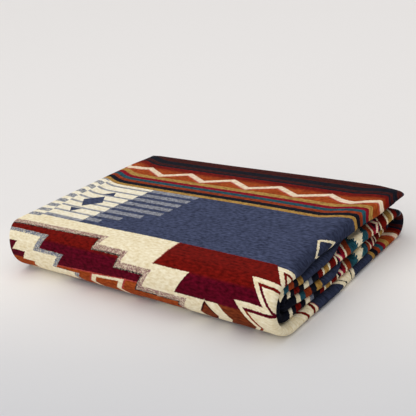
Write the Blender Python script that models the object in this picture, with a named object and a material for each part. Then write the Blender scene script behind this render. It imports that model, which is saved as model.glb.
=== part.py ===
"""Folded alpaca blanket, lying on a flat surface.

One woven cloth. Both sides are folded to the middle and closed on each other, which gives a
band four plies thick with one wide rolled edge on the right and two narrow ones on the left.
The band is folded in half and then in three like a letter, which gives six layers: three
nested turns at the front, the outermost a big round wrap, two nested turns low at the back,
and both end hems above those, at the back of the two top layers.

Metres, +Z up, front towards -Y. The origin is the centre of the stack's underside.
"""

import math
from collections import namedtuple

import bmesh
import bpy
import numpy as np

MM = 0.001

# Driving sizes
WIDTH = 500 * MM
DEPTH = 351 * MM
CLOTH = 2.6 * MM
PLY_GAP = 0.5 * MM
LAYER_GAP = 0.8 * MM

# Sizes worked out from them
PLY_PITCH = CLOTH + PLY_GAP
BAND = 4 * CLOTH + 3 * PLY_GAP
LAYER_PITCH = BAND + LAYER_GAP
LAYER_COUNT = 6
HEIGHT = LAYER_COUNT * BAND + (LAYER_COUNT - 1) * LAYER_GAP
OUTER_PLY = 1.5 * PLY_PITCH
INNER_PLY = 0.5 * PLY_PITCH
HALF_CLOTH = CLOTH / 2
RIGHT = WIDTH / 2
LEFT = -WIDTH / 2
FRONT = -DEPTH / 2
BACK = DEPTH / 2

# Centres of the band's turns. The inner ones have a little slack
WRAP_RADIUS = 2.5 * LAYER_PITCH
NESTED_RADIUS = 1.5 * LAYER_PITCH
WRAP_Y = FRONT + WRAP_RADIUS + BAND / 2
FRONT_NESTED_Y = WRAP_Y + 3 * MM
FRONT_SMALL_Y = WRAP_Y + 6 * MM
BACK_NESTED_Y = BACK - NESTED_RADIUS - BAND / 2
BACK_SMALL_Y = BACK_NESTED_Y - 3 * MM
TOP_HEM_Y = BACK - 1 * MM
SECOND_HEM_Y = BACK - 7 * MM

# The side hems lie this far in from the right edge
SIDE_HEM = RIGHT - 80 * MM

# The layers change from an even pitch to their heights at the rolled edge between these places
EDGE_BLEND_START = SIDE_HEM
EDGE_BLEND_END = RIGHT - 44 * MM
EDGE_FRONT_START = FRONT_SMALL_Y + 4 * MM
EDGE_FRONT_END = FRONT_SMALL_Y + 42 * MM
EDGE_BACK_START = BACK_SMALL_Y - 50 * MM
EDGE_BACK_END = BACK_SMALL_Y - 4 * MM
SWELL_LENGTH = 9 * MM
SWELL_ROOM = 4 * MM

# Places from front to back where the rows below give values
PLACES = (FRONT_SMALL_Y, -40 * MM, 50 * MM, BACK_SMALL_Y)

# Every layer has stations at the same places, so that its facets follow its neighbours
RUN_PLACES = (
    EDGE_FRONT_START,
    EDGE_FRONT_END,
    PLACES[1],
    (PLACES[1] + PLACES[2]) / 2,
    PLACES[2],
    EDGE_BACK_START,
    EDGE_BACK_END,
)

# One row for each layer, from the top down, in millimetres.
# short: how far its rolled right edge stops short of the widest one, at each place
# left: the same on the left side
# edge_top: height of its top face at the rolled edge
# roll: length of the rounded edge
# swell: how much the rounded edge rises where the layer above leaves it room
Layer = namedtuple("Layer", "name short left edge_top roll swell")
LAYERS = [
    Layer("top", (10, 17, 11, 0), (1, 0, 1, 4), HEIGHT / MM, 12, 0),
    Layer("second", (13, 12, 27, 12), (6, 5, 8, 5), 55.0, 6, 0),
    Layer("third", (16, 10, 6, 0), (9, 7, 5, 8), 44.5, 7, 6),
    Layer("fourth", (14, 4, 27, 22), (6, 9, 7, 12), 34.0, 6, 0),
    Layer("fifth", (13, 8, 5, 16), (8, 5, 9, 10), 23.5, 7, 6),
    Layer("bottom", (3, 0, 2, 1), (4, 3, 5, 6), 13.0, 8, 0),
]
TOP, SECOND, THIRD, FOURTH, FIFTH, BOTTOM = range(LAYER_COUNT)

# The stack's soft outline: how much lower it is at the side edges, and its waviness
LEFT_DROP = 0.02
LEFT_DROP_LENGTH = 26 * MM
LEFT_LEAN = 15.5 * MM
LEFT_LEAN_BACK = 0.36
LEFT_LEAN_LENGTH = 60 * MM
RIGHT_DROP = 0.05
RIGHT_DROP_LENGTH = 45 * MM
BACK_DROP = 0.04
BACK_DROP_LENGTH = 60 * MM
WAVE = 0.012
WAVE_NUMBERS = (11.0, 5.0, 9.0, 4.0)
WAVE_PHASE = 0.6

# How finely the cloth is divided
SMALL_TURN_STEPS = 4
NESTED_TURN_STEPS = 6
WRAP_STEPS = 10
ROLL_STEPS = 6
NARROW_FOLD_STEPS = 3
SIDE_STATION = 14 * MM
MIDDLE_STEPS = 2

CLOTH_COLOUR = (0.055, 0.07, 0.15, 1.0)


def ease(value):
    """Smooth step from 0 to 1, flat at both ends."""
    t = min(max(value, 0.0), 1.0)
    return t * t * (3.0 - 2.0 * t)


def between(start, end, share):
    return start + (end - start) * share


def layer_height(index):
    """Height of a layer's middle where the layers lie at an even pitch."""
    return BAND / 2 + (LAYER_COUNT - 1 - index) * LAYER_PITCH


def along_layer(y, values):
    """A row's value at one place from front to back, eased from each place to the next."""
    value = values[0]
    for start, end, first, second in zip(PLACES, PLACES[1:], values, values[1:]):
        value += (second - first) * ease((y - start) / (end - start))
    return value * MM


def edge_window(y):
    """1 where the layers take their heights at the rolled edge, 0 where the band turns."""
    rise = ease((y - EDGE_FRONT_START) / (EDGE_FRONT_END - EDGE_FRONT_START))
    fall = ease((y - EDGE_BACK_START) / (EDGE_BACK_END - EDGE_BACK_START))
    return rise * (1.0 - fall)


# The band at one point of its way: place, outward direction, reach and edge shape
Station = namedtuple(
    "Station", "y z out_y out_z short left roll plus_edge minus_edge plus_swell minus_swell"
)


def edge_swell(index, y):
    """How much a layer's rounded edge rises, which it does where the one above is shorter."""
    layer = LAYERS[index]
    if not layer.swell:
        return 0.0
    above = along_layer(y, LAYERS[index - 1].short)
    own = along_layer(y, layer.short) + HALF_CLOTH + layer.roll * MM + SWELL_LENGTH
    return layer.swell * MM * ease((above - own) / SWELL_ROOM)


def layer_station(index, y, heading_back):
    layer = LAYERS[index]
    middle = layer_height(index)
    window = edge_window(y)
    edge_bottom = LAYERS[index + 1].edge_top * MM + LAYER_GAP if index < BOTTOM else 0.0
    lift_top = (layer.edge_top * MM - (middle + BAND / 2)) * window
    lift_bottom = (edge_bottom - (middle - BAND / 2)) * window
    swell = edge_swell(index, y) * window
    if heading_back:
        shape = (-lift_bottom, -lift_top, 0.0, -swell)
    else:
        shape = (lift_top, lift_bottom, swell, 0.0)
    out_z = -1.0 if heading_back else 1.0
    short = along_layer(y, layer.short)
    left = along_layer(y, layer.left)
    return Station(y, middle, 0.0, out_z, short, left, layer.roll * MM, *shape)


def run(index, y_start, y_end):
    """Stations along one layer, without its last point."""
    low, high = min(y_start, y_end), max(y_start, y_end)
    heading_back = y_end > y_start
    inside = sorted((y for y in RUN_PLACES if low < y < high), reverse=not heading_back)
    return [layer_station(index, y, heading_back) for y in [y_start] + inside]


def turn(from_index, to_index, centre_y, towards_back, steps):
    """Stations round one turn of the band, without its last point."""
    start = layer_station(from_index, centre_y, towards_back)
    end = layer_station(to_index, centre_y, not towards_back)
    radius = (end.z - start.z) / 2
    side = 1.0 if towards_back else -1.0
    outward = -start.out_z
    stations = []
    for step in range(steps):
        share = step / steps
        across = math.sin(math.pi * share) * side
        along = -math.cos(math.pi * share)
        reach = [between(a, b, ease(share)) for a, b in zip(start[4:], end[4:])]
        place = (centre_y + abs(radius) * across, (start.z + end.z) / 2 + radius * along)
        facing = (across * outward * math.copysign(1.0, radius), along * outward)
        stations.append(Station(*place, *facing, *reach))
    return stations


def band_stations():
    """The whole way of the band, from one end hem to the other."""
    stations = run(TOP, TOP_HEM_Y, WRAP_Y)
    stations += turn(TOP, BOTTOM, WRAP_Y, False, WRAP_STEPS)
    stations += run(BOTTOM, WRAP_Y, BACK_NESTED_Y)
    stations += turn(BOTTOM, THIRD, BACK_NESTED_Y, True, NESTED_TURN_STEPS)
    stations += run(THIRD, BACK_NESTED_Y, FRONT_SMALL_Y)
    stations += turn(THIRD, FOURTH, FRONT_SMALL_Y, False, SMALL_TURN_STEPS)
    stations += run(FOURTH, FRONT_SMALL_Y, BACK_SMALL_Y)
    stations += turn(FOURTH, FIFTH, BACK_SMALL_Y, True, SMALL_TURN_STEPS)
    stations += run(FIFTH, BACK_SMALL_Y, FRONT_NESTED_Y)
    stations += turn(FIFTH, SECOND, FRONT_NESTED_Y, False, NESTED_TURN_STEPS)
    stations += run(SECOND, FRONT_NESTED_Y, SECOND_HEM_Y)
    stations.append(layer_station(SECOND, SECOND_HEM_Y, True))
    return stations


def outer_ply(station, x, side):
    """Distance of an outer ply from the band's middle, side +1 or -1."""
    edge = station.plus_edge if side > 0 else station.minus_edge
    swell = station.plus_swell if side > 0 else station.minus_swell
    edge_share = ease((x - EDGE_BLEND_START) / (EDGE_BLEND_END - EDGE_BLEND_START))
    swell_share = ease((x - roll_start(station) + SWELL_LENGTH) / SWELL_LENGTH)
    return side * OUTER_PLY + edge * edge_share + swell * swell_share


def roll_start(station):
    """Where the flat part of the band ends and its rounded right edge begins."""
    return RIGHT - station.short - HALF_CLOTH - station.roll


def fold_centre(station):
    """Centre of the narrow folds on the left."""
    return LEFT + station.left + HALF_CLOTH + INNER_PLY


def places_across(station):
    """Places from the narrow left folds to the side hems."""
    first = fold_centre(station)
    second = first + SIDE_STATION
    shares = [step / MIDDLE_STEPS for step in range(MIDDLE_STEPS + 1)]
    return [first] + [between(second, SIDE_HEM, share) for share in shares]


def places_at_edge(station):
    """Places from the side hems to the start of the rounded right edge."""
    start = roll_start(station)
    middle = (EDGE_BLEND_START + EDGE_BLEND_END) / 2
    return [middle, EDGE_BLEND_END, start - SWELL_LENGTH, start - SWELL_LENGTH / 2, start]


def narrow_fold(station, side):
    """Points round a narrow left fold, from the outer ply to the inner one, without its ends."""
    points = []
    for step in range(1, NARROW_FOLD_STEPS):
        angle = math.pi * step / NARROW_FOLD_STEPS
        x = fold_centre(station) - INNER_PLY * math.sin(angle)
        points.append((x, side * INNER_PLY * (2.0 + math.cos(angle))))
    return points


def rolled_edge(station):
    """Points round the right edge, from the plus ply to the minus ply, without its ends."""
    start = roll_start(station)
    high = outer_ply(station, start, 1)
    low = outer_ply(station, start, -1)
    points = []
    for step in range(1, ROLL_STEPS):
        angle = math.pi * step / ROLL_STEPS
        level = (high + low) / 2 + (high - low) / 2 * math.cos(angle)
        points.append((start + station.roll * math.sin(angle), level))
    return points


def section(station):
    """Middle line of the cloth across the band, from the plus hem to the minus hem."""
    inner = places_across(station)
    outer = inner + places_at_edge(station)
    points = [(x, INNER_PLY) for x in reversed(inner)]
    points += reversed(narrow_fold(station, 1))
    points += [(x, outer_ply(station, x, 1)) for x in outer]
    points += rolled_edge(station)
    points += [(x, outer_ply(station, x, -1)) for x in reversed(outer)]
    points += narrow_fold(station, -1)
    points += [(x, -INNER_PLY) for x in inner]
    return np.array(points)


def sideways(points):
    """Directions square to a line of points, on its left."""
    steps = np.diff(points, axis=0)
    steps /= np.linalg.norm(steps, axis=1)[:, None]
    tangents = np.vstack([steps[:1], steps[1:] + steps[:-1], steps[-1:]])
    tangents /= np.linalg.norm(tangents, axis=1)[:, None]
    return np.column_stack([-tangents[:, 1], tangents[:, 0]])


def smooth(values):
    """The same smooth step as ease, for an array."""
    t = np.clip(values, 0.0, 1.0)
    return t * t * (3.0 - 2.0 * t)


def settle(points):
    """Give the whole stack its soft outline. The underside stays flat."""
    x, y, z = points[..., 0], points[..., 1], points[..., 2]
    left = 1.0 - smooth((x - LEFT) / LEFT_DROP_LENGTH)
    right = 1.0 - smooth((RIGHT - x) / RIGHT_DROP_LENGTH)
    back = 1.0 - smooth((BACK - y) / BACK_DROP_LENGTH)
    a, b, c, d = WAVE_NUMBERS
    wave = np.sin(a * x + b * y + WAVE_PHASE) * np.cos(c * y - d * x)
    scale = 1.0 - LEFT_DROP * left - RIGHT_DROP * right - BACK_DROP * back + WAVE * wave
    front = 1.0 - smooth((y - FRONT) / DEPTH)
    lean = LEFT_LEAN * (LEFT_LEAN_BACK + (1.0 - LEFT_LEAN_BACK) * front)
    height = np.maximum(z, 0.0)
    lean = lean * (1.0 - smooth((x - LEFT) / LEFT_LEAN_LENGTH)) * (height / HEIGHT) ** 4
    return np.stack([x - lean, y, height * scale], axis=-1)


def centred(faces):
    """Move the stack so that the origin is the centre of its box, seen from above."""
    everything = np.concatenate([face.reshape(-1, 3) for face in faces])
    middle = (everything.min(axis=0) + everything.max(axis=0)) / 2
    middle[2] = 0.0
    return [face - middle for face in faces]


def cloth_faces():
    """Both faces of the cloth as grids of points: band station by place across."""
    grids = ([], [])
    for station in band_stations():
        line = section(station)
        side = sideways(line)
        for grid, sign in zip(grids, (1.0, -1.0)):
            x, level = (line + side * (HALF_CLOTH * sign)).T
            y = station.y + level * station.out_y
            z = station.z + level * station.out_z
            grid.append(np.column_stack([x, y, z]))
    return centred([settle(np.array(grid)) for grid in grids])


def add_quad(mesh, corners):
    """Two triangles, split from front left to back right so that all plies are split alike."""
    places = [corner.co.x + corner.co.y for corner in corners]
    lowest = places.index(min(places))
    a, b, c, d = corners[lowest:] + corners[:lowest]
    mesh.faces.new((a, b, c))
    mesh.faces.new((a, c, d))


def sheet_object(name, faces, material):
    """One closed solid from the two faces of a sheet."""
    rows, columns = faces[0].shape[:2]
    mesh = bmesh.new()
    upper, lower = [
        [[mesh.verts.new(point) for point in row] for row in face] for face in faces
    ]
    for i in range(rows - 1):
        for j in range(columns - 1):
            add_quad(mesh, [upper[i][j], upper[i][j + 1], upper[i + 1][j + 1], upper[i + 1][j]])
            add_quad(mesh, [lower[i][j], lower[i + 1][j], lower[i + 1][j + 1], lower[i][j + 1]])
    rim = [(0, j) for j in range(columns - 1)]
    rim += [(i, columns - 1) for i in range(rows - 1)]
    rim += [(rows - 1, j) for j in range(columns - 1, 0, -1)]
    rim += [(i, 0) for i in range(rows - 1, 0, -1)]
    for (i, j), (k, l) in zip(rim, rim[1:] + rim[:1]):
        add_quad(mesh, [upper[i][j], lower[i][j], lower[k][l], upper[k][l]])
    bmesh.ops.recalc_face_normals(mesh, faces=mesh.faces[:])
    data = bpy.data.meshes.new(name)
    mesh.to_mesh(data)
    mesh.free()
    data.shade_smooth()
    data.materials.append(material)
    sheet = bpy.data.objects.new(name, data)
    bpy.context.scene.collection.objects.link(sheet)
    return sheet


def woven_material():
    """Brushed wool cloth, in the slate blue of its largest field."""
    material = bpy.data.materials.new("woven_cloth")
    material.use_nodes = True
    shader = material.node_tree.nodes["Principled BSDF"]
    shader.inputs["Base Color"].default_value = CLOTH_COLOUR
    shader.inputs["Roughness"].default_value = 0.9
    shader.inputs["Metallic"].default_value = 0.0
    return material


def clear_scene():
    for item in list(bpy.data.objects):
        bpy.data.objects.remove(item)


clear_scene()
sheet_object("blanket", cloth_faces(), woven_material())
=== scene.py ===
"""Looks of the folded alpaca blanket: its cloth, pattern, light and camera.

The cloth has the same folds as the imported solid, made finer, with the pattern woven into it.
Places on the cloth are given in millimetres: "aside" from the cloth's centre line, which lies
on the rolled right edge, and "along" from the hem at the back of the top layer.
"""

import math

from collections import namedtuple

import bmesh
import bpy
import numpy as np
from mathutils import Matrix, Vector


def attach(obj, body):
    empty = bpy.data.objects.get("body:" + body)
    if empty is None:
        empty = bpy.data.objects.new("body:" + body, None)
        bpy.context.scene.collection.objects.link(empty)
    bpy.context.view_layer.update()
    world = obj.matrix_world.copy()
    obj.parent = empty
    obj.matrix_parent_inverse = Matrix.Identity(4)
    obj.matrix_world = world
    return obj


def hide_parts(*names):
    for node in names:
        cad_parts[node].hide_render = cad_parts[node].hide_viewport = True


MM = 0.001

# The cloth's folds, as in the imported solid
WIDTH = 500 * MM
DEPTH = 351 * MM
CLOTH = 2.6 * MM
PLY_GAP = 0.5 * MM
LAYER_GAP = 0.8 * MM
PLY_PITCH = CLOTH + PLY_GAP
BAND = 4 * CLOTH + 3 * PLY_GAP
LAYER_PITCH = BAND + LAYER_GAP
LAYER_COUNT = 6
HEIGHT = LAYER_COUNT * BAND + (LAYER_COUNT - 1) * LAYER_GAP
OUTER_PLY = 1.5 * PLY_PITCH
INNER_PLY = 0.5 * PLY_PITCH
HALF_CLOTH = CLOTH / 2
RIGHT = WIDTH / 2
LEFT = -WIDTH / 2
FRONT = -DEPTH / 2
BACK = DEPTH / 2
WRAP_RADIUS = 2.5 * LAYER_PITCH
NESTED_RADIUS = 1.5 * LAYER_PITCH
WRAP_Y = FRONT + WRAP_RADIUS + BAND / 2
FRONT_NESTED_Y = WRAP_Y + 3 * MM
FRONT_SMALL_Y = WRAP_Y + 6 * MM
BACK_NESTED_Y = BACK - NESTED_RADIUS - BAND / 2
BACK_SMALL_Y = BACK_NESTED_Y - 3 * MM
TOP_HEM_Y = BACK - 1 * MM
SECOND_HEM_Y = BACK - 7 * MM
SIDE_HEM = RIGHT - 80 * MM
EDGE_BLEND_START = SIDE_HEM
EDGE_BLEND_END = RIGHT - 44 * MM
EDGE_FRONT_START = FRONT_SMALL_Y + 4 * MM
EDGE_FRONT_END = FRONT_SMALL_Y + 42 * MM
EDGE_BACK_START = BACK_SMALL_Y - 50 * MM
EDGE_BACK_END = BACK_SMALL_Y - 4 * MM
SWELL_LENGTH = 9 * MM
SWELL_ROOM = 4 * MM
PLACES = (FRONT_SMALL_Y, -40 * MM, 50 * MM, BACK_SMALL_Y)

# One row for each layer, from the top down, in millimetres
Layer = namedtuple("Layer", "name short left edge_top roll swell")
LAYERS = [
    Layer("top", (10, 17, 11, 0), (1, 0, 1, 4), HEIGHT / MM, 12, 0),
    Layer("second", (13, 12, 27, 12), (6, 5, 8, 5), 55.0, 6, 0),
    Layer("third", (16, 10, 6, 0), (9, 7, 5, 8), 44.5, 7, 6),
    Layer("fourth", (14, 4, 27, 22), (6, 9, 7, 12), 34.0, 6, 0),
    Layer("fifth", (13, 8, 5, 16), (8, 5, 9, 10), 23.5, 7, 6),
    Layer("bottom", (3, 0, 2, 1), (4, 3, 5, 6), 13.0, 8, 0),
]
TOP, SECOND, THIRD, FOURTH, FIFTH, BOTTOM = range(LAYER_COUNT)

LEFT_DROP = 0.02
LEFT_DROP_LENGTH = 26 * MM
LEFT_LEAN = 15.5 * MM
LEFT_LEAN_BACK = 0.36
LEFT_LEAN_LENGTH = 60 * MM
RIGHT_DROP = 0.05
RIGHT_DROP_LENGTH = 45 * MM
BACK_DROP = 0.04
BACK_DROP_LENGTH = 60 * MM
WAVE = 0.012
WAVE_NUMBERS = (11.0, 5.0, 9.0, 4.0)
WAVE_PHASE = 0.6

# How finely the cloth is divided here, and a column well inside its outer ply, counted from the
# centre line
RUN_STEP = 9 * MM
SMALL_TURN_STEPS = 10
NESTED_TURN_STEPS = 16
WRAP_STEPS = 30
ROLL_STEPS = 14
NARROW_FOLD_STEPS = 7
OUTER_STEP = 9 * MM
INNER_STEP = 22 * MM
OUTER_COLUMN = 40

# How far the pattern is pulled towards the back hem at the side folds of the top layer
PULL_LEFT = 15 * MM
PULL_LEFT_START = 435 * MM
PULL_LEFT_LENGTH = 47 * MM
PULL_LEFT_MOST = 1.07
PULL_LEFT_ALONG = (140 * MM, 275 * MM)
PULL_RIGHT = 19 * MM
PULL_RIGHT_ASIDE = (10 * MM, 62 * MM)
PULL_RIGHT_ALONG = (145 * MM, 205 * MM)
TURN_DOWN = 24 * MM
TURN_DOWN_SLOPE = 0.11
TURN_DOWN_LENGTH = 13 * MM

# Camera, fitted to the photograph's outline of the stack
CAMERA_AZIMUTH = 41.28
CAMERA_ELEVATION = 24.01
CAMERA_ROLL = -7.97
CAMERA_DISTANCE = 1.1746
CAMERA_LENS = 66.27
CAMERA_CENTRE = Vector((0.0064, 0.0, 0.035))
CAMERA_AIM_RIGHT = 0.0126
CAMERA_AIM_UP = 0.0346

# The floor's colour near the camera and far from it, and where it changes, in metres. The near
# colour is darker as painted shade, where less light falls
FLOOR_HALF = 6.0
FLOOR_GAP = 0.2 * MM
FLOOR_NEAR = (0.66, 0.67, 0.70)
FLOOR_FAR = (0.825, 0.815, 0.82)
FLOOR_FADE_LENGTH = 0.32
FLOOR_FADE_START = 1.32
FLOOR_FADE_SIDEWAYS = 0.31

# A painted strip of light on the floor, level with the blanket, which lifts the shade beside it:
# where it lies, half its width in metres and how much brighter than the far floor it is, as a
# share of the whole change
FLOOR_STRIP = -0.08
FLOOR_STRIP_HALF = 0.24
FLOOR_STRIP_GAIN = 0.5

# The soft light all round: its colour, its strength, how uneven it is, and where it is brightest
ROUND_COLOUR = (1.0, 0.98, 0.955)
ROUND_LIGHT = 0.665
ROUND_LIGHT_UNEVEN = 0.95
BRIGHT_SIDE = (-0.72, -0.25, 0.65)

# The broad light above
KEY_PLACE = (-0.7, -0.3, 2.4)
KEY_SIZE = 2.4
KEY_POWER = 3.0
KEY_COLOUR = (0.99, 0.99, 1.0)


def ease(value):
    """Smooth step from 0 to 1, flat at both ends."""
    t = min(max(value, 0.0), 1.0)
    return t * t * (3.0 - 2.0 * t)


def between(start, end, share):
    return start + (end - start) * share


def layer_height(index):
    """Height of a layer's middle where the layers lie at an even pitch."""
    return BAND / 2 + (LAYER_COUNT - 1 - index) * LAYER_PITCH


def along_layer(y, values):
    """A row's value at one place from front to back, eased from each place to the next."""
    value = values[0]
    for start, end, first, second in zip(PLACES, PLACES[1:], values, values[1:]):
        value += (second - first) * ease((y - start) / (end - start))
    return value * MM


def edge_window(y):
    """1 where the layers take their heights at the rolled edge, 0 where the band turns."""
    rise = ease((y - EDGE_FRONT_START) / (EDGE_FRONT_END - EDGE_FRONT_START))
    fall = ease((y - EDGE_BACK_START) / (EDGE_BACK_END - EDGE_BACK_START))
    return rise * (1.0 - fall)


Station = namedtuple(
    "Station", "y z out_y out_z short left roll plus_edge minus_edge plus_swell minus_swell"
)


def edge_swell(index, y):
    """How much a layer's rounded edge rises, which it does where the one above is shorter."""
    layer = LAYERS[index]
    if not layer.swell:
        return 0.0
    above = along_layer(y, LAYERS[index - 1].short)
    own = along_layer(y, layer.short) + HALF_CLOTH + layer.roll * MM + SWELL_LENGTH
    return layer.swell * MM * ease((above - own) / SWELL_ROOM)


def layer_station(index, y, heading_back):
    layer = LAYERS[index]
    middle = layer_height(index)
    window = edge_window(y)
    edge_bottom = LAYERS[index + 1].edge_top * MM + LAYER_GAP if index < BOTTOM else 0.0
    lift_top = (layer.edge_top * MM - (middle + BAND / 2)) * window
    lift_bottom = (edge_bottom - (middle - BAND / 2)) * window
    swell = edge_swell(index, y) * window
    if heading_back:
        shape = (-lift_bottom, -lift_top, 0.0, -swell)
    else:
        shape = (lift_top, lift_bottom, swell, 0.0)
    out_z = -1.0 if heading_back else 1.0
    short = along_layer(y, layer.short)
    left = along_layer(y, layer.left)
    return Station(y, middle, 0.0, out_z, short, left, layer.roll * MM, *shape)


def run(index, y_start, y_end):
    """Stations along one layer, without its last point."""
    count = max(2, round(abs(y_end - y_start) / RUN_STEP))
    heading_back = y_end > y_start
    places = [between(y_start, y_end, step / count) for step in range(count)]
    return [layer_station(index, y, heading_back) for y in places]


def turn(from_index, to_index, centre_y, towards_back, steps):
    """Stations round one turn of the band, without its last point."""
    start = layer_station(from_index, centre_y, towards_back)
    end = layer_station(to_index, centre_y, not towards_back)
    radius = (end.z - start.z) / 2
    side = 1.0 if towards_back else -1.0
    outward = -start.out_z
    stations = []
    for step in range(steps):
        share = step / steps
        across = math.sin(math.pi * share) * side
        along = -math.cos(math.pi * share)
        reach = [between(a, b, ease(share)) for a, b in zip(start[4:], end[4:])]
        place = (centre_y + abs(radius) * across, (start.z + end.z) / 2 + radius * along)
        facing = (across * outward * math.copysign(1.0, radius), along * outward)
        stations.append(Station(*place, *facing, *reach))
    return stations


def band_stations():
    """The whole way of the band, from one end hem to the other."""
    stations = run(TOP, TOP_HEM_Y, WRAP_Y)
    stations += turn(TOP, BOTTOM, WRAP_Y, False, WRAP_STEPS)
    stations += run(BOTTOM, WRAP_Y, BACK_NESTED_Y)
    stations += turn(BOTTOM, THIRD, BACK_NESTED_Y, True, NESTED_TURN_STEPS)
    stations += run(THIRD, BACK_NESTED_Y, FRONT_SMALL_Y)
    stations += turn(THIRD, FOURTH, FRONT_SMALL_Y, False, SMALL_TURN_STEPS)
    stations += run(FOURTH, FRONT_SMALL_Y, BACK_SMALL_Y)
    stations += turn(FOURTH, FIFTH, BACK_SMALL_Y, True, SMALL_TURN_STEPS)
    stations += run(FIFTH, BACK_SMALL_Y, FRONT_NESTED_Y)
    stations += turn(FIFTH, SECOND, FRONT_NESTED_Y, False, NESTED_TURN_STEPS)
    stations += run(SECOND, FRONT_NESTED_Y, SECOND_HEM_Y)
    stations.append(layer_station(SECOND, SECOND_HEM_Y, True))
    return stations


def outer_ply(station, x, side):
    """Distance of an outer ply from the band's middle, side +1 or -1."""
    edge = station.plus_edge if side > 0 else station.minus_edge
    swell = station.plus_swell if side > 0 else station.minus_swell
    edge_share = ease((x - EDGE_BLEND_START) / (EDGE_BLEND_END - EDGE_BLEND_START))
    swell_share = ease((x - roll_start(station) + SWELL_LENGTH) / SWELL_LENGTH)
    return side * OUTER_PLY + edge * edge_share + swell * swell_share


def roll_start(station):
    """Where the flat part of the band ends and its rounded right edge begins."""
    return RIGHT - station.short - HALF_CLOTH - station.roll


def fold_centre(station):
    """Centre of the narrow folds on the left."""
    return LEFT + station.left + HALF_CLOTH + INNER_PLY


def places_inside(station):
    """Places of the two inner plies, from the narrow left folds to the side hems."""
    first = fold_centre(station)
    count = round((SIDE_HEM - LEFT) / INNER_STEP)
    return [between(first, SIDE_HEM, step / count) for step in range(count + 1)]


def places_outside(station):
    """Places of the two outer plies, from the narrow left folds to the rounded right edge."""
    first = fold_centre(station)
    last = roll_start(station)
    count = round((RIGHT - LEFT) / OUTER_STEP)
    return [between(first, last, step / count) for step in range(count + 1)]


def narrow_fold(station, side):
    """Points round a narrow left fold, from the outer ply to the inner one, without its ends."""
    points = []
    for step in range(1, NARROW_FOLD_STEPS):
        angle = math.pi * step / NARROW_FOLD_STEPS
        x = fold_centre(station) - INNER_PLY * math.sin(angle)
        points.append((x, side * INNER_PLY * (2.0 + math.cos(angle))))
    return points


def rolled_edge(station):
    """Points round the right edge, from the plus ply to the minus ply, without its ends."""
    start = roll_start(station)
    high = outer_ply(station, start, 1)
    low = outer_ply(station, start, -1)
    points = []
    for step in range(1, ROLL_STEPS):
        angle = math.pi * step / ROLL_STEPS
        level = (high + low) / 2 + (high - low) / 2 * math.cos(angle)
        points.append((start + station.roll * math.sin(angle), level))
    return points


def section(station):
    """Middle line of the cloth across the band, from the plus hem to the minus hem."""
    inner = places_inside(station)
    outer = places_outside(station)
    points = [(x, INNER_PLY) for x in reversed(inner)]
    points += reversed(narrow_fold(station, 1))
    points += [(x, outer_ply(station, x, 1)) for x in outer]
    points += rolled_edge(station)
    points += [(x, outer_ply(station, x, -1)) for x in reversed(outer)]
    points += narrow_fold(station, -1)
    points += [(x, -INNER_PLY) for x in inner]
    return np.array(points)


def sideways(points):
    """Directions square to a line of points, on its left."""
    steps = np.diff(points, axis=0)
    steps /= np.linalg.norm(steps, axis=1)[:, None]
    tangents = np.vstack([steps[:1], steps[1:] + steps[:-1], steps[-1:]])
    tangents /= np.linalg.norm(tangents, axis=1)[:, None]
    return np.column_stack([-tangents[:, 1], tangents[:, 0]])


def smooth(values):
    """The same smooth step as ease, for an array."""
    t = np.clip(values, 0.0, 1.0)
    return t * t * (3.0 - 2.0 * t)


def settle(points):
    """Give the whole stack its soft outline. The underside stays flat."""
    x, y, z = points[..., 0], points[..., 1], points[..., 2]
    left = 1.0 - smooth((x - LEFT) / LEFT_DROP_LENGTH)
    right = 1.0 - smooth((RIGHT - x) / RIGHT_DROP_LENGTH)
    back = 1.0 - smooth((BACK - y) / BACK_DROP_LENGTH)
    a, b, c, d = WAVE_NUMBERS
    wave = np.sin(a * x + b * y + WAVE_PHASE) * np.cos(c * y - d * x)
    scale = 1.0 - LEFT_DROP * left - RIGHT_DROP * right - BACK_DROP * back + WAVE * wave
    front = 1.0 - smooth((y - FRONT) / DEPTH)
    lean = LEFT_LEAN * (LEFT_LEAN_BACK + (1.0 - LEFT_LEAN_BACK) * front)
    height = np.maximum(z, 0.0)
    lean = lean * (1.0 - smooth((x - LEFT) / LEFT_LEAN_LENGTH)) * (height / HEIGHT) ** 4
    return np.stack([x - lean, y, height * scale], axis=-1)


def centred(faces):
    """Move the stack so that the origin is the centre of its box, seen from above."""
    everything = np.concatenate([face.reshape(-1, 3) for face in faces])
    middle = (everything.min(axis=0) + everything.max(axis=0)) / 2
    middle[2] = 0.0
    return [face - middle for face in faces]


def steps_between(points, axis):
    """Distances from each point of a grid to the next one along an axis."""
    return np.linalg.norm(np.diff(points, axis=axis), axis=2)


def cloth_grid():
    """Both faces of the cloth and the place of each point on the flat cloth, in metres."""
    grids = ([], [])
    for station in band_stations():
        line = section(station)
        side = sideways(line)
        for grid, sign in zip(grids, (1.0, -1.0)):
            x, level = (line + side * (HALF_CLOTH * sign)).T
            y = station.y + level * station.out_y
            z = station.z + level * station.out_z
            grid.append(np.column_stack([x, y, z]))
    faces = centred([settle(np.array(grid)) for grid in grids])
    middle = (faces[0] + faces[1]) / 2
    centre_column = middle.shape[1] // 2
    across = np.pad(np.cumsum(steps_between(middle, 1), axis=1), ((0, 0), (1, 0)))
    aside = across - across[:, centre_column : centre_column + 1]
    column = centre_column - OUTER_COLUMN
    outer_face = max(faces, key=lambda face: face[0, column, 2])
    way = steps_between(outer_face, 0)[:, column]
    along = np.concatenate([[0.0], np.cumsum(way)])
    return faces, aside, pulled(aside, along[:, None])


def fade(values, start, end):
    """1 up to a start, falling smoothly to 0 at an end."""
    return 1.0 - smooth((values - start) / (end - start))


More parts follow.
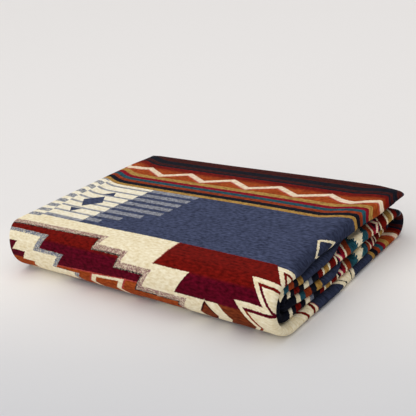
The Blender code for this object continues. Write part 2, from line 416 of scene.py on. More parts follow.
def pulled(aside, along):
    """The place of the pattern on the cloth, which lies a little askew at its side folds."""
    reach = np.abs(aside)
    left = np.clip((reach - PULL_LEFT_START) / PULL_LEFT_LENGTH, 0.0, PULL_LEFT_MOST) ** 2
    left = left * PULL_LEFT * fade(along, *PULL_LEFT_ALONG)
    right = fade(reach, *PULL_RIGHT_ASIDE) * PULL_RIGHT
    down = fade(reach, 0.0, TURN_DOWN_LENGTH) * (TURN_DOWN - TURN_DOWN_SLOPE * along)
    return along + left + (right - down) * fade(along, *PULL_RIGHT_ALONG)


def sheet_object(name, faces, aside, along):
    """One closed mesh from the two faces, with each point's place on the flat cloth as its UV."""
    rows, columns = aside.shape
    mesh = bmesh.new()
    places = {}
    sides = []
    for face in faces:
        side = []
        for i in range(rows):
            line = [mesh.verts.new(face[i, j]) for j in range(columns)]
            for j, vertex in enumerate(line):
                places[vertex] = (aside[i, j], along[i, j])
            side.append(line)
        sides.append(side)
    upper, lower = sides
    for i in range(rows - 1):
        for j in range(columns - 1):
            mesh.faces.new([upper[i][j], upper[i][j + 1], upper[i + 1][j + 1], upper[i + 1][j]])
            mesh.faces.new([lower[i][j], lower[i + 1][j], lower[i + 1][j + 1], lower[i][j + 1]])
    rim = [(0, j) for j in range(columns - 1)]
    rim += [(i, columns - 1) for i in range(rows - 1)]
    rim += [(rows - 1, j) for j in range(columns - 1, 0, -1)]
    rim += [(i, 0) for i in range(rows - 1, 0, -1)]
    for (i, j), (k, l) in zip(rim, rim[1:] + rim[:1]):
        mesh.faces.new([upper[i][j], lower[i][j], lower[k][l], upper[k][l]])
    bmesh.ops.recalc_face_normals(mesh, faces=mesh.faces[:])
    layer = mesh.loops.layers.uv.new("cloth")
    for face in mesh.faces:
        for loop in face.loops:
            loop[layer].uv = places[loop.vert]
    data = bpy.data.meshes.new(name)
    mesh.to_mesh(data)
    mesh.free()
    data.shade_smooth()
    sheet = bpy.data.objects.new(name, data)
    bpy.context.scene.collection.objects.link(sheet)
    return sheet


def linear(red, green, blue):
    """A colour as seen on screen, 0 to 255, in the shader's linear values."""
    shares = [channel / 255 for channel in (red, green, blue)]
    return tuple(s / 12.92 if s <= 0.04045 else ((s + 0.055) / 1.055) ** 2.4 for s in shares)


CREAM = linear(238, 226, 194)
BLUE = linear(62, 69, 95)
# A darker blue: painted shade near the rolled edge of the blue field, and the field at the bottom
# layer's rolled edge
DEEP_BLUE = linear(45, 51, 73)
PALE_CREAM = linear(239, 231, 208)
PEACH = linear(229, 209, 184)
MIST = linear(146, 148, 156)
PINK_TWEED = linear(146, 110, 108)
SLATE = linear(112, 118, 134)
NAVY = linear(18, 20, 30)
RUST_RED = linear(106, 16, 10)
BURGUNDY = linear(84, 6, 26)
ORANGE = linear(154, 68, 27)
PINK_RED = linear(176, 66, 62)
GOLD = linear(166, 128, 66)
CRIMSON = linear(128, 14, 30)
MAGENTA = linear(150, 24, 62)
TEAL = linear(34, 76, 88)
RUST = linear(136, 54, 26)
CHESTNUT = linear(114, 50, 25)
BROWN = linear(64, 20, 16)


class Term:
    """A number that varies over the cloth, kept as a socket of the material's nodes."""

    def __init__(self, tree, socket):
        self.tree = tree
        self.socket = socket

    def math(self, operation, *others, clamp=False):
        node = self.tree.nodes.new("ShaderNodeMath")
        node.operation = operation
        node.use_clamp = clamp
        for socket, value in zip(node.inputs, (self,) + others):
            if isinstance(value, Term):
                self.tree.links.new(value.socket, socket)
            else:
                socket.default_value = value
        return Term(self.tree, node.outputs[0])

    def __add__(self, other):
        return self.math("ADD", other)

    def __sub__(self, other):
        return self.math("SUBTRACT", other)

    def __mul__(self, other):
        return self.math("MULTIPLY", other)

    def __neg__(self):
        return self.math("MULTIPLY", -1.0)

    def minus_from(self, number):
        """The given number minus this one."""
        return self.math("MULTIPLY_ADD", -1.0, number)

    def lower(self, other):
        return self.math("MINIMUM", other)

    def higher(self, other):
        return self.math("MAXIMUM", other)

    def size(self):
        return self.math("ABSOLUTE")

    def above(self, edge, soft=0.6):
        """1 where the number is over an edge, 0 below it."""
        return self.math("MULTIPLY_ADD", 1.0 / soft, 0.5 - edge / soft, clamp=True)


def stripe(term, start, end, soft=0.6):
    """1 between two values of a number."""
    return term.above(start, soft) * (-term).above(-end, soft)


class Painter:
    """Lays colours over each other, each one where its mask says."""

    def __init__(self, tree, ground, cell):
        self.tree = tree
        self.cell = cell
        self.colour = None
        node = tree.nodes.new("ShaderNodeRGB")
        node.outputs[0].default_value = (*ground, 1.0)
        self.colour = node.outputs[0]

    def paint(self, mask, colour, share=None):
        """Share is how many of the threads take the colour, where two are mixed."""
        if share is not None:
            mask = mask * self.cell.math("MULTIPLY_ADD", MIX_CONTRAST, share - MIX_CONTRAST / 2)
        node = self.tree.nodes.new("ShaderNodeMix")
        node.data_type = "RGBA"
        self.tree.links.new(mask.socket, node.inputs["Factor"])
        self.tree.links.new(self.colour, node.inputs[6])
        node.inputs[7].default_value = (*colour, 1.0)
        self.colour = node.outputs[2]


# Millimetres from the hem at the back of the top layer to the line about which the first
# repeat is mirrored, under the front wrap
MIRROR = 391.0

# Where threads of two colours are mixed: how much they stand out, and their pitch
MIX_CONTRAST = 1.2
THREAD = 1.4

# The nap: how fine it is, and how far it moves the pattern's edges from side to side
NAP_SCALE = 420.0
NAP_SHAKE = 2.4

# How strongly fine flecks and broad blotches change the colours, pale ones much less. Both give
# random tone, and the flecks, which also raise the relief, darken its dips as painted shade
FLECKS = 1.9
BLOTCHES = 0.5
PALEST = 1.1
DARKEST_TONE_AND_SHADE = -0.85

# Noise of the wool: its scale, its detail and how it is stretched
FLECK_NOISE = (300.0, 3.0, (0.45, 1.0))
BLOTCH_NOISE = (45.0, 2.0, (1.0, 1.0))
FIBRE_NOISE = (700.0, 2.0, (0.4, 1.0))

# The border, counted from the hem: each colour runs to the next start
FIELD_START = 48.0
FIELD_END = 93.0
BORDER_END = 144.0
BORDER = [
    (0, BROWN),
    (19, NAVY),
    (34, BROWN),
    (42, NAVY),
    (FIELD_START, RUST_RED),
    (FIELD_END, GOLD),
    (103, CRIMSON),
    (111, TEAL),
    (119.5, RUST),
    (127, NAVY),
    (136.5, GOLD),
    (BORDER_END, BLUE),
]

# Where the field turns orange, and the thin lines in the brown: start, end, share of dark threads
ORANGE_START = 63.0
ORANGE_SOFT = 12.0
DARK_LINES = [(9.0, 11.0, 0.6), (37.0, 39.0, 0.5)]

# The zigzag in the border
ZIGZAG_PERIOD = 90.0
ZIGZAG_SHIFT = 5.0
ZIGZAG_TOP = 65.5
ZIGZAG_DROP = 21.5
ZIGZAG_THICK = 10.0
ZIGZAG_SHADE = 3.0

# Rows of cream beside the blue field, and mixed ones that step away from them
ROW_START = 137.0
ROW_PITCH = 18.2
ROW_COUNT = 8
ROW_THICK = 13.5
ROW_SOFT = 2.0
MIXED_START = 143.0
MIXED_PITCH = 17.65
MIXED_EDGE = 0.5
MIXED_THICK = 10.4
MIXED_SOFT = 1.5

# Where the rows end aside: two lines, each with its change from row to row and its start. The
# further one holds
CREAM_ENDS = ((2.7, 362.0), (7.5, 336.0))
MIXED_ENDS = ((2.0, 266.0), (29.0, 155.0))

# The line of mixed threads after the last row, and the blocks at the side fold
LINE_START = 280.0
LINE_END = 286.5
LINE_SLOPE = 0.06
LINE_ASIDE = 390.0
BLOCKS_START = 472.0
BLOCKS_END = 294.5
BLOCK_IN_ROW = (1.0, 11.0)

# The diamond among the rows, and the small triangles before it and after it
DIAMOND_ASIDE = 426.8
DIAMOND_ALONG = 215.5
DIAMOND_SIZE = 21.8
DIAMOND_SKEW = 0.24
TRIANGLE_SHIFT = 1.9
TRIANGLE_BASE = 29.5
TRIANGLE_TIP = 43.3
TRIANGLE_NARROWING = 1.1

# The big block: its upper part with the cream ground beside it, then its lower part
BLOCK_TOP = 287.3
BLOCK_TOP_SLOPE = -0.011
GROUND_TOP = 282.2
GROUND_TOP_SLOPE = 0.011
BLOCK_SIDE = 189.0
BLOCK_SIDE_BEND = 325.0
BLOCK_SIDE_LEAN = 0.55
BLOCK_RUST_END = 338.5
BLOCK_EDGE = 1.6
LOWER_SIDE = 132.7
LOWER_SIDE_ALONG = 337.0
LOWER_SIDE_LEAN = 0.69
LOWER_RUST = (300.0, 345.0)
BURGUNDY_START = 339.0
BURGUNDY_SOFT = 5.0
BURGUNDY_END = 368.6
BURGUNDY_OVERLAP = (360.0, 372.0)
CHESTNUT_START = 369.0
CHESTNUT_SIDE = 334.0
CHESTNUT_LEAN = 0.68

# Flights of steps in the stepped figures. Each step has its corner, how its end leans, and how
# many millimetres of depth there are to a millimetre aside, negative where it opens to the right
Step = namedtuple("Step", "aside along lean side")
UPPER_FLIGHT = [
    Step(302.3, 309.0, 0.12, 1.15),
    Step(247.0, 329.6, 0.33, 1.15),
    Step(195.0, 347.5, 0.7, 1.0),
    Step(135.0, 373.5, 0.68, 1.0),
]
LOWER_FLIGHT = [Step(409.6, 334, 0.54, 0.5), Step(368, 357.5, 0.9, 0.65), Step(340, 382, 0.9, 0.7)]
SMALL_FLIGHT = [Step(474, 354, 0.85, 0.8), Step(455.8, 368.5, 0.8, 0.8), Step(440, 383, 0.8, 0.8)]
STAR_FLIGHT = [
    Step(26.0, 289.5, -0.75, -1.04),
    Step(42.5, 322.0, -0.78, -1.04),
    Step(57.5, 357.0, -0.75, -1.04),
]

# The stepped band: its tilt beyond a place aside, its outlines, and where its colours change
BAND_TILT = 0.033
BAND_TILT_START = 302.0
BAND_TWEED = 8.2
BAND_OUTLINE = 10.3
BAND_BURGUNDY_START = 343.0
BAND_ORANGE_TILT = 0.05
BAND_ORANGE_TILT_START = 230.0
BAND_LINE = (368.6, 371.0)
BAND_ORANGE_START = 370.4
LOWER_OUTLINE = 5.5
LAST_STEP_OUTLINE = 9.0
SMALL_ORANGE_START = 380.0

# The slanted frame in the stepped band. Its sides are made thicker than its top
GATE_LEFT = 305.8
GATE_RIGHT = 245.2
GATE_TOP = 370.4
GATE_TILT = 0.08
GATE_LEAN = 0.75
GATE_THICK = 4.4
GATE_SIDE = 0.5
GATE_EDGE = (-1.6, 0.5)

# The hexagon at the front wrap
HEXAGON_ASIDE = 104.5
HEXAGON_HALF = 14.5
HEXAGON_TALL = 22.0
HEXAGON_RIM = 2.5
HEXAGON_LINE = (-0.5, 4.5)
HEXAGON_LINE_END = 388.0

# The stepped star at the rolled edge: the blue before it, and the line in it
STAR_GAP = (284.0, 289.5)
STAR_GAP_ASIDE = 27.0
STAR_LINE = (7.0, 11.2)
STAR_BURGUNDY_START = 334.0
STAR_RUST_START = 368.0

# The arrowhead on the blue field at the rolled edge
HOOK_ALONG = 204.0
HOOK_REACH = 14.7
HOOK_THICK = 4.0
HOOK_UPPER_ALONG = 0.8
HOOK_UPPER_ASIDE = 0.95
HOOK_LOWER_LEAN = 0.49
HOOK_LOWER_ASIDE = 1.2

# Figures at the rolled edge of the bottom layer, along the cloth
EDGE_REACH = 26.0
EDGE_STAR = 470.0
EDGE_STAR_START = 2 * MIRROR - 382.0
EDGE_STAR_END = 485.0
EDGE_STAR_SHADE = (456.0, 486.5)
EDGE_STAR_LINE = (4.2, 9.2)
EDGE_STAR_LEAN = 0.4
EDGE_FIELD = (486.0, 627.0)
EDGE_FIGURE = 567.0
EDGE_FIGURE_HALF = 16.0
EDGE_FIGURE_LINE = (5.5, 8.0)

# The leaf band, counted both ways from the middle of its leaf
LEAF_BAND = [
    (0, TEAL),
    (24, RUST),
    (34, CREAM),
    (38, CRIMSON),
    (45, NAVY),
    (58, CREAM),
    (61, RUST_RED),
    (75, CREAM),
    (79, GOLD),
    (90, CREAM),
    (94, RUST_RED),
    (104, NAVY),
    (118, SLATE),
    (126, CREAM),
    (136, NAVY),
    (146, RUST_RED),
    (157, NAVY),
    (165, CREAM),
    (172, NAVY),
    (260, NAVY),
]
LEAF_PLACES = (905.0, 1508.0)
LEAF_STARTS = (2 * MIRROR, 1400.0)
LEAF_REACH = 30.0
LEAF_LEAN = 0.9
LEAF_HALF = 8.0
LEAF_MOST = 19.0
LEAF_WIDENING = 0.55
LEAF_TOOTH = 5.0
LEAF_TOOTH_SLANT = 2.0
LEAF_TOOTH_DEPTH = 0.9
ZIGZAG_LINE = 47.5
ZIGZAG_LINE_TOOTH = 10.0
ZIGZAG_LINE_DEPTH = 0.8
ZIGZAG_LINE_RIM = 4.6
ZIGZAG_LINE_HALF = 2.4
TAIL_STARTS = (1143.0, 1719.0)
TAIL_LEAN = 0.8
TAIL = [(-8, CREAM), (0, TEAL), (10, RUST), (22, NAVY), (32, GOLD), (43, DEEP_BLUE)]


def place_nodes(tree):
    """Places on the cloth in millimetres, moved a little by the nap: aside, along, and a cell."""
    uv = tree.nodes.new("ShaderNodeUVMap")
    uv.uv_map = "cloth"
    split = tree.nodes.new("ShaderNodeSeparateXYZ")
    tree.links.new(uv.outputs[0], split.inputs[0])
    nap = tree.nodes.new("ShaderNodeTexNoise")
    nap.noise_dimensions = "2D"
    nap.inputs["Scale"].default_value = NAP_SCALE
    nap.inputs["Detail"].default_value = 2.0
    tree.links.new(uv.outputs[0], nap.inputs["Vector"])
    shake = tree.nodes.new("ShaderNodeSeparateColor")
    tree.links.new(nap.outputs["Color"], shake.inputs[0])
    aside = Term(tree, split.outputs[0]).size() * 1000.0
    along = Term(tree, split.outputs[1]) * 1000.0
    aside = aside + Term(tree, shake.outputs[0]).math("MULTIPLY_ADD", NAP_SHAKE, -NAP_SHAKE / 2)
    along = along + Term(tree, shake.outputs[1]).math("MULTIPLY_ADD", NAP_SHAKE, -NAP_SHAKE / 2)
    white = tree.nodes.new("ShaderNodeTexWhiteNoise")
    white.noise_dimensions = "2D"
    snap = tree.nodes.new("ShaderNodeVectorMath")
    snap.operation = "SNAP"
    snap.inputs[1].default_value = (THREAD * MM, THREAD * MM, 1.0)
    tree.links.new(uv.outputs[0], snap.inputs[0])
    tree.links.new(snap.outputs[0], white.inputs["Vector"])
    cell = Term(tree, white.outputs["Value"])
    return uv, aside, along, cell


def flight(aside, along, steps):
    """How deep a place lies inside a flight of slanted steps, in millimetres."""
    deepest = None
    for step in steps:
        below = along - step.along
        beside = (aside - step.aside - below * step.lean) * step.side
        depth = below.lower(beside)
        deepest = depth if deepest is None else deepest.higher(depth)
    return deepest


def paint_bands(painter, term, bands, inside=None):
    """Each colour from its start to the next one's."""
    for (start, colour), (end, _) in zip(bands, bands[1:]):
        mask = stripe(term, start, end)
        painter.paint(mask * inside if inside else mask, colour)


def paint_border(painter, aside, from_hem):
    """Stripes along the hem, with a zigzag in the widest one."""
    paint_bands(painter, from_hem, BORDER)
    field = stripe(from_hem, FIELD_START, FIELD_END)
    painter.paint(field * from_hem.above(ORANGE_START, ORANGE_SOFT), ORANGE)
    for start, end, share in DARK_LINES:
        painter.paint(stripe(from_hem, start, end), NAVY, share)
    swing = (aside + ZIGZAG_SHIFT).math("PINGPONG", ZIGZAG_PERIOD / 2)
    middle = swing.math("MULTIPLY_ADD", ZIGZAG_DROP * 2 / ZIGZAG_PERIOD, ZIGZAG_TOP)
    off = from_hem - middle
    half = ZIGZAG_THICK / 2
    shade = off.above(-half) * (-off).above(-half - ZIGZAG_SHADE, ZIGZAG_SHADE)
    painter.paint(shade, PINK_RED, share=0.7)
    painter.paint(off.above(-half) * (-off).above(-half, ZIGZAG_SHADE), PEACH)


def row_places(from_hem, start, pitch):
    """Which row a place is in, and how far into it."""
    number = (from_hem - start).math("MULTIPLY", 1.0 / pitch).math("FLOOR")
    return number, from_hem - start - number * pitch


def row_ends(number, ends):
    (change, start), (other_change, other_start) = ends
    return (number * change + start).higher(number * other_change + other_start)


def paint_rows(painter, aside, from_hem):
    """Cream rows beside the blue field, and mixed ones that step away from them."""
    field = stripe(from_hem, BORDER_END, ROW_START + ROW_COUNT * ROW_PITCH)
    number, phase = row_places(from_hem, ROW_START, ROW_PITCH)
    mixed_number, mixed_phase = row_places(from_hem, MIXED_START, MIXED_PITCH)
    mixed = field * (aside - row_ends(mixed_number, MIXED_ENDS)).above(0.0)
    mixed = mixed * stripe(mixed_phase, MIXED_EDGE, MIXED_THICK, MIXED_SOFT)
    painter.paint(mixed, MIST, share=0.9)
    cream_side = field * (aside - row_ends(number, CREAM_ENDS)).above(0.0)
    painter.paint(cream_side, MIST)
    painter.paint(cream_side * (-phase).above(-ROW_THICK, ROW_SOFT), PALE_CREAM)
    line_end = (aside - LINE_ASIDE).math("MULTIPLY_ADD", LINE_SLOPE, LINE_END)
    line = from_hem.above(LINE_START, MIXED_SOFT) * (line_end - from_hem).above(0.0)
    painter.paint(line * aside.above(LINE_ASIDE), MIST, share=0.78)
    blocks = aside.above(BLOCKS_START) * stripe(from_hem, BORDER_END, BLOCKS_END)
    painter.paint(blocks, PALE_CREAM)
    painter.paint(blocks * stripe(phase, *BLOCK_IN_ROW), SLATE, share=0.95)
    paint_diamond(painter, aside - DIAMOND_ASIDE, from_hem - DIAMOND_ALONG)


def paint_diamond(painter, aside, along):
    """A blue diamond a little askew, with a small triangle before it and after it."""
    across = (aside - along * DIAMOND_SKEW).size()
    painter.paint((across + along.size()).minus_from(DIAMOND_SIZE).above(0.0), BLUE)
    off = (along - TRIANGLE_SHIFT).size()
    triangles = (across * TRIANGLE_NARROWING + off).minus_from(TRIANGLE_TIP).above(0.0)
    painter.paint(triangles * off.above(TRIANGLE_BASE), BLUE)


def paint_block(painter, aside, from_hem):
    """The big rust block that turns burgundy, with the stepped figures on cream beside it."""
    block_top = aside.math("MULTIPLY_ADD", BLOCK_TOP_SLOPE, BLOCK_TOP)
    ground_top = aside.math("MULTIPLY_ADD", GROUND_TOP_SLOPE, GROUND_TOP).higher(block_top)
    past_blocks = aside.minus_from(BLOCKS_START).above(0.0).higher(from_hem.above(BLOCKS_END))
    painter.paint((from_hem - ground_top).above(0.3) * past_blocks, CREAM)
    side = (from_hem - BLOCK_SIDE_BEND).higher(0.0) * BLOCK_SIDE_LEAN + BLOCK_SIDE
    upper = (from_hem - block_top).above(-0.3) * from_hem.minus_from(BLOCK_RUST_END).above(0.0)
    for edge, colour, share in ((BLOCK_EDGE, PINK_RED, 0.55), (0.0, RUST_RED, None)):
        painter.paint(upper * (aside - side).minus_from(edge).above(0.0), colour, share)
    lower_side = (from_hem - LOWER_SIDE_ALONG) * LOWER_SIDE_LEAN + LOWER_SIDE
    lower = (lower_side - aside).above(0.0)
    painter.paint(stripe(from_hem, *LOWER_RUST) * lower, RUST_RED)
    chestnut_side = (aside + from_hem * CHESTNUT_LEAN).minus_from(CHESTNUT_SIDE).above(0.0)
    before_chestnut = from_hem.minus_from(BURGUNDY_END).above(0.0)
    before_chestnut = before_chestnut.higher(stripe(from_hem, *BURGUNDY_OVERLAP) * chestnut_side)
    burgundy = from_hem.above(BURGUNDY_START, BURGUNDY_SOFT) * before_chestnut * lower
    painter.paint(burgundy, BURGUNDY)
    painter.paint(from_hem.above(CHESTNUT_START, 2.0) * chestnut_side, CHESTNUT)


def paint_stepped_band(painter, aside, from_hem):
    """The long stepped figure that runs from the block to the side fold."""
    tilted = from_hem - (aside - BAND_TILT_START).higher(0.0) * BAND_TILT
    band = flight(aside, tilted, UPPER_FLIGHT)
    inside = band.above(BAND_OUTLINE)
    painter.paint(band.above(0.0), CREAM)
    painter.paint(band.above(0.0), PINK_TWEED, share=0.8)
    painter.paint(band.above(BAND_TWEED), NAVY, share=1.0)
    painter.paint(inside, RUST_RED)
    painter.paint(inside * from_hem.above(BAND_BURGUNDY_START, BURGUNDY_SOFT), BURGUNDY)
    turned = from_hem - (aside - BAND_ORANGE_TILT_START).higher(0.0) * BAND_ORANGE_TILT
    painter.paint(inside * stripe(turned, *BAND_LINE), PINK_RED)
    painter.paint(inside * turned.above(BAND_ORANGE_START, 1.0), ORANGE)


def paint_lower_flights(painter, aside, from_hem):
    """Cream steps with a mixed outline over the stepped band, and small steps at the side fold."""
    lower = flight(aside, from_hem, LOWER_FLIGHT)
    painter.paint(lower.above(0.0), CREAM)
    painter.paint(lower.above(0.0) * (-lower).above(-LOWER_OUTLINE), SLATE, share=0.95)
    last = LOWER_FLIGHT[-1]
    past = aside - (from_hem - last.along) * last.lean - last.aside
    painter.paint(from_hem.above(last.along + 0.5) * past.above(LAST_STEP_OUTLINE), CREAM)
    small = flight(aside, from_hem, SMALL_FLIGHT).above(0.0)
    painter.paint(small, BURGUNDY)
    painter.paint(small * from_hem.above(SMALL_ORANGE_START), ORANGE)


def paint_gate(painter, aside, from_hem):
    """A slanted cream frame, open below, in the orange of the stepped band."""
    top = from_hem - (aside - GATE_RIGHT) * GATE_TILT - GATE_TOP
    slant = (from_hem - GATE_TOP) * GATE_LEAN
    left = (aside - slant).minus_from(GATE_LEFT) * GATE_SIDE
    right = (aside - slant - GATE_RIGHT) * GATE_SIDE
    depth = top.lower(left).lower(right)
    painter.paint(stripe(depth, *GATE_EDGE), PINK_RED)
    painter.paint(stripe(depth, 0.0, GATE_THICK), CREAM)


def paint_hexagon(painter, aside, from_hem):
    """A hexagon with a cream rim, on the line about which the pattern is mirrored."""
    across = (aside - HEXAGON_ASIDE).size() * (HEXAGON_TALL / HEXAGON_HALF)
    depth = (across + (from_hem - MIRROR).size()).minus_from(HEXAGON_TALL)
    painter.paint(depth.above(-HEXAGON_RIM), CREAM)
    painter.paint(depth.above(0.0), CHESTNUT)
    before_end = from_hem.minus_from(HEXAGON_LINE_END).above(0.0)
    painter.paint(stripe(depth, *HEXAGON_LINE) * before_end, BROWN)


def paint_star(painter, aside, from_hem):
    """The cream stepped star at the rolled edge, with a coloured line in it."""
    star = flight(aside, from_hem, STAR_FLIGHT)
    gap = stripe(from_hem, *STAR_GAP) * aside.minus_from(STAR_GAP_ASIDE).above(0.0)
    painter.paint(gap, BLUE)
    painter.paint(star.above(0.0), CREAM)
    line = stripe(star, *STAR_LINE)
    painter.paint(line, RUST_RED)
    painter.paint(line * from_hem.above(STAR_BURGUNDY_START), BURGUNDY)
    painter.paint(line * from_hem.above(STAR_RUST_START), RUST)


def paint_hook(painter, aside, from_hem):
    """A cream arrowhead that points away from the rolled edge, its upper arm the flatter one."""
    down = from_hem - HOOK_ALONG
    upper = down * HOOK_UPPER_ALONG - (aside - HOOK_REACH) * HOOK_UPPER_ASIDE
    lower = (aside + down * HOOK_LOWER_LEAN).minus_from(HOOK_REACH) * HOOK_LOWER_ASIDE
    painter.paint(stripe(upper.lower(lower), 0.0, HOOK_THICK), CREAM)


def paint_bottom_figures(painter, aside, along):
    """Cream figures that show at the rolled edge of the bottom layer."""
    near = aside.minus_from(EDGE_REACH).above(0.0)
    widening = aside.lower(EDGE_REACH)
    painter.paint(stripe(along, *EDGE_STAR_SHADE) * near, PINK_RED)
    painter.paint(stripe(along, EDGE_STAR_START, EDGE_STAR_END) * near, CREAM)
    line = (along - EDGE_STAR).size() - widening * EDGE_STAR_LEAN
    painter.paint(stripe(line, *EDGE_STAR_LINE) * near, RUST_RED)
    painter.paint(stripe(along, *EDGE_FIELD) * near, DEEP_BLUE)
    figure = (along - EDGE_FIGURE).size() - widening
    painter.paint(figure.minus_from(EDGE_FIGURE_HALF).above(0.0) * near, CREAM)
    painter.paint(stripe(figure, *EDGE_FIGURE_LINE) * near, NAVY)


def paint_leaf_bands(painter, aside, along):
    """Bands of small motifs, which show only at the rolled edges."""
    near = aside.lower(LEAF_REACH)
    leaned = along + near * LEAF_LEAN
    leaf_tooth = (leaned + aside * LEAF_TOOTH_SLANT).math("PINGPONG", LEAF_TOOTH)
    tooth = aside.math("PINGPONG", ZIGZAG_LINE_TOOTH)
    half = (near * LEAF_WIDENING + LEAF_HALF).lower(LEAF_MOST) - leaf_tooth * LEAF_TOOTH_DEPTH
    for leaf, start, tail in zip(LEAF_PLACES, LEAF_STARTS, TAIL_STARTS):
        inside = stripe(along, start, tail)
        off = (leaned - leaf).size()
        paint_bands(painter, off, LEAF_BAND, inside)
        painter.paint(inside * (half - off).above(0.0), CREAM)
        line = (off - tooth * ZIGZAG_LINE_DEPTH - ZIGZAG_LINE).size()
        painter.paint(inside * line.minus_from(ZIGZAG_LINE_RIM).above(0.0), MAGENTA)
        painter.paint(inside * line.minus_from(ZIGZAG_LINE_HALF).above(0.0), CREAM)
        paint_bands(painter, along - near * TAIL_LEAN - tail, TAIL)


def noise(tree, uv, scale, detail, stretch):
    """Noise over the flat cloth, stretched along one way or the other."""
    mapping = tree.nodes.new("ShaderNodeMapping")
    mapping.inputs["Scale"].default_value = (*stretch, 1.0)
    tree.links.new(uv.outputs[0], mapping.inputs["Vector"])
    node = tree.nodes.new("ShaderNodeTexNoise")
    node.noise_dimensions = "2D"
    node.inputs["Scale"].default_value = scale
    node.inputs["Detail"].default_value = detail
    tree.links.new(mapping.outputs[0], node.inputs["Vector"])
    return Term(tree, node.outputs[0])


def finish_wool(tree, shader, uv, colour):
    """Brushed wool over the woven colours: flecks and blotches of random tone with painted shade
    in the dips of the nap, a soft relief and sheen.
    """
    flecks = noise(tree, uv, *FLECK_NOISE) - 0.5
    blotches = noise(tree, uv, *BLOTCH_NOISE) - 0.5
    # Random tone, and painted shade in the dips: lower flecks both sink the relief and darken the
    # colour
    tone_and_nap_shade = (flecks * FLECKS + blotches * BLOTCHES).higher(DARKEST_TONE_AND_SHADE)
    room = tree.nodes.new("ShaderNodeVectorMath")
    room.operation = "SUBTRACT"
    room.inputs[0].default_value = (PALEST, PALEST, PALEST)
    tree.links.new(colour, room.inputs[1])
    change = tree.nodes.new("ShaderNodeVectorMath")
    change.operation = "MULTIPLY"
    tree.links.new(room.outputs[0], change.inputs[0])
    tree.links.new(tone_and_nap_shade.socket, change.inputs[1])
    toned_and_shaded = tree.nodes.new("ShaderNodeVectorMath")
    toned_and_shaded.operation = "MULTIPLY_ADD"
    for value, socket in zip((colour, change.outputs[0], colour), toned_and_shaded.inputs):
        tree.links.new(value, socket)
    tree.links.new(toned_and_shaded.outputs[0], shader.inputs["Base Color"])
    fibres = noise(tree, uv, *FIBRE_NOISE)
    bump = tree.nodes.new("ShaderNodeBump")
    bump.inputs["Strength"].default_value = 0.5
    bump.inputs["Distance"].default_value = 0.5 * MM
    height = fibres * 0.6 + flecks
    tree.links.new(height.socket, bump.inputs["Height"])
    tree.links.new(bump.outputs[0], shader.inputs["Normal"])
    shader.inputs["Roughness"].default_value = 1.0
    shader.inputs["Specular IOR Level"].default_value = 0.02
    shader.inputs["Sheen Weight"].default_value = 0.02
    shader.inputs["Sheen Roughness"].default_value = 0.5


def cloth_material():
    material = bpy.data.materials.new("woven_alpaca")
    material.use_nodes = True
    tree = material.node_tree
    shader = tree.nodes["Principled BSDF"]
    uv, aside, along, cell = place_nodes(tree)
    painter = Painter(tree, BLUE, cell)
    # Painted shade: the blue field darkens towards the rolled edge, where the cloth curves down
    painter.paint(aside.minus_from(15.0).above(0.0, 24.0), DEEP_BLUE)
    from_hem = (along - MIRROR).size().minus_from(MIRROR)
    paint_border(painter, aside, from_hem)
    paint_rows(painter, aside, from_hem)
    paint_block(painter, aside, from_hem)
    paint_stepped_band(painter, aside, from_hem)
    paint_lower_flights(painter, aside, from_hem)
    paint_gate(painter, aside, from_hem)
    paint_hexagon(painter, aside, from_hem)
    paint_star(painter, aside, from_hem)
    paint_hook(painter, aside, from_hem)
    paint_bottom_figures(painter, aside, along)
    paint_leaf_bands(painter, aside, along)
    finish_wool(tree, shader, uv, painter.colour)
    return material


def camera():
    """The camera at the photograph's place, turned about its own axis as the photograph is."""
    azimuth = math.radians(CAMERA_AZIMUTH)
    elevation = math.radians(CAMERA_ELEVATION)
    back = Vector(
        (
            math.sin(azimuth) * math.cos(elevation),
            -math.cos(azimuth) * math.cos(elevation),
            math.sin(elevation),
        )
    )
    right = Vector((0, 0, 1)).cross(back).normalized()
    up = back.cross(right)
    place = CAMERA_CENTRE + back * CAMERA_DISTANCE
    target = CAMERA_CENTRE + right * CAMERA_AIM_RIGHT + up * CAMERA_AIM_UP
    back = (place - target).normalized()
    right = Vector((0, 0, 1)).cross(back).normalized()
    up = back.cross(right)
    roll = math.radians(CAMERA_ROLL)
    turned_right = right * math.cos(roll) + up * math.sin(roll)
    turned_up = up * math.cos(roll) - right * math.sin(roll)
    data = bpy.data.cameras.new("camera")
    data.lens = CAMERA_LENS
    data.sensor_width = 36.0
    item = bpy.data.objects.new("camera", data)
    matrix = Matrix((turned_right, turned_up, back)).transposed().to_4x4()
    item.matrix_world = Matrix.Translation(place) @ matrix
    bpy.context.scene.collection.objects.link(item)
    bpy.context.scene.camera = item


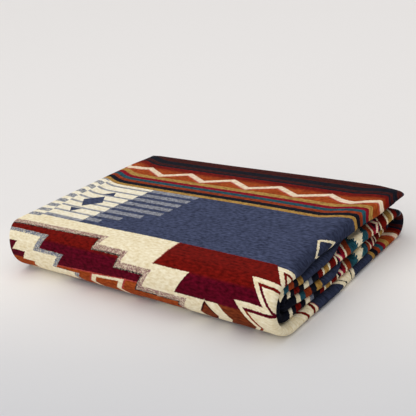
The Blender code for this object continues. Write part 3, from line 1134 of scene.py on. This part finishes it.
def floor():
    """A pale floor, a little darker towards the camera as painted shade, and brightest level with
    the blanket as a painted strip of light.
    """
    mesh = bmesh.new()
    bmesh.ops.create_grid(mesh, x_segments=1, y_segments=1, size=FLOOR_HALF)
    data = bpy.data.meshes.new("floor")
    mesh.to_mesh(data)
    mesh.free()
    item = bpy.data.objects.new("floor", data)
    item.location = (0.0, 0.0, -FLOOR_GAP)
    bpy.context.scene.collection.objects.link(item)
    material = bpy.data.materials.new("floor_paper")
    material.use_nodes = True
    tree = material.node_tree
    shader = tree.nodes["Principled BSDF"]
    point = tree.nodes.new("ShaderNodeTexCoord")
    split = tree.nodes.new("ShaderNodeSeparateXYZ")
    tree.links.new(point.outputs["Object"], split.inputs[0])
    azimuth = math.radians(CAMERA_AZIMUTH)
    turned = FLOOR_FADE_SIDEWAYS
    x = Term(tree, split.outputs[0]) * (turned * math.cos(azimuth) - math.sin(azimuth))
    y = Term(tree, split.outputs[1]) * (turned * math.sin(azimuth) + math.cos(azimuth))
    place = x + y
    # Painted shade: the floor darkens towards the camera
    away = place.math("MULTIPLY_ADD", 1.0 / FLOOR_FADE_LENGTH, FLOOR_FADE_START, clamp=True)
    # Painted light: a brighter strip of floor level with the blanket
    off = (place - FLOOR_STRIP).size().minus_from(FLOOR_STRIP_HALF).higher(0.0)
    away = away + off * (FLOOR_STRIP_GAIN / FLOOR_STRIP_HALF)
    mix = tree.nodes.new("ShaderNodeMix")
    mix.data_type = "RGBA"
    mix.clamp_factor = False
    mix.inputs[6].default_value = (*FLOOR_NEAR, 1.0)
    mix.inputs[7].default_value = (*FLOOR_FAR, 1.0)
    tree.links.new(away.socket, mix.inputs["Factor"])
    tree.links.new(mix.outputs[2], shader.inputs["Base Color"])
    shader.inputs["Roughness"].default_value = 0.9
    shader.inputs["Specular IOR Level"].default_value = 0.1
    data.materials.append(material)


def area_light(name, place, size, power, colour):
    data = bpy.data.lights.new(name, "AREA")
    data.shape = "SQUARE"
    data.size = size
    data.energy = power
    data.color = colour
    item = bpy.data.objects.new(name, data)
    item.location = place
    item.rotation_euler = (-Vector(place)).to_track_quat("-Z", "Y").to_euler()
    bpy.context.scene.collection.objects.link(item)


def lights():
    world = bpy.data.worlds.new("studio")
    world.use_nodes = True
    tree = world.node_tree
    background = tree.nodes["Background"]
    background.inputs[0].default_value = (*ROUND_COLOUR, 1.0)
    direction = tree.nodes.new("ShaderNodeTexCoord")
    share = tree.nodes.new("ShaderNodeVectorMath")
    share.operation = "DOT_PRODUCT"
    share.inputs[1].default_value = BRIGHT_SIDE
    tree.links.new(direction.outputs["Generated"], share.inputs[0])
    strength = Term(tree, share.outputs["Value"]) * (ROUND_LIGHT * ROUND_LIGHT_UNEVEN)
    tree.links.new((strength + ROUND_LIGHT).socket, background.inputs[1])
    bpy.context.scene.world = world
    area_light("key", KEY_PLACE, KEY_SIZE, KEY_POWER, KEY_COLOUR)


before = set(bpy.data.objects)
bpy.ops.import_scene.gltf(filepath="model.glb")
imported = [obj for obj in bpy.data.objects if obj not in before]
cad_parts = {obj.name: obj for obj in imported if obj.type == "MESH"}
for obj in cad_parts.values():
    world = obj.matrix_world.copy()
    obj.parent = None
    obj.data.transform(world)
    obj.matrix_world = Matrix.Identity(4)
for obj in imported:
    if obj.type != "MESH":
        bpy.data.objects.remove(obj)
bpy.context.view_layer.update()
faces, aside, along = cloth_grid()
blanket = sheet_object("woven_blanket", faces, aside, along)
blanket.data.materials.append(cloth_material())
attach(blanket, "root")
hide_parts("blanket")
bpy.context.scene.view_settings.view_transform = "Standard"
camera()
floor()
lights()
